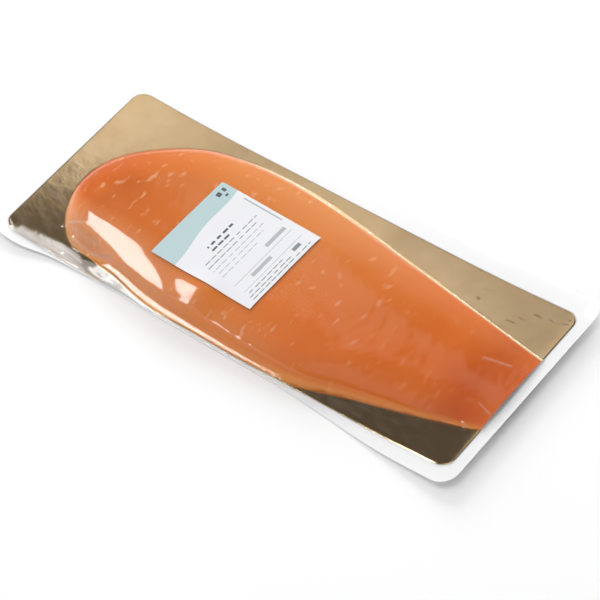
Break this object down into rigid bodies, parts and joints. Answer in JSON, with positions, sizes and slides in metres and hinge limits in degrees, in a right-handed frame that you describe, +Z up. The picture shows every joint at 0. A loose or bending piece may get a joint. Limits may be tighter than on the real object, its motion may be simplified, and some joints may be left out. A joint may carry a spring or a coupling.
{
  "type": "vacuum pack of smoked salmon",
  "caption": "Flat sealed pack: a whole trimmed side of smoked salmon on a stiff gold card, drawn tight in clear film, with a plain paper label on top.",
  "frame": {"origin": "on the resting plane, under the middle of the pack's box", "axes": "+X along the pack from the head end to the cut tail end, +Y towards the long side where the fish's thin edge lies, +Z up"},
  "size_m": [0.5286, 0.237, 0.0256],
  "materials": {
    "clear_film": "clear glossy film drawn tight over orange fish and a gold card",
    "salmon_flesh": "moist cured orange flesh with pale fat lines",
    "gold_card": "stiff card faced with satin champagne-gold foil",
    "label_paper": null
  },
  "bodies": {
    "root": {"film_pack": "clear_film", "label": "label_paper"}
  },
  "joints": []
}
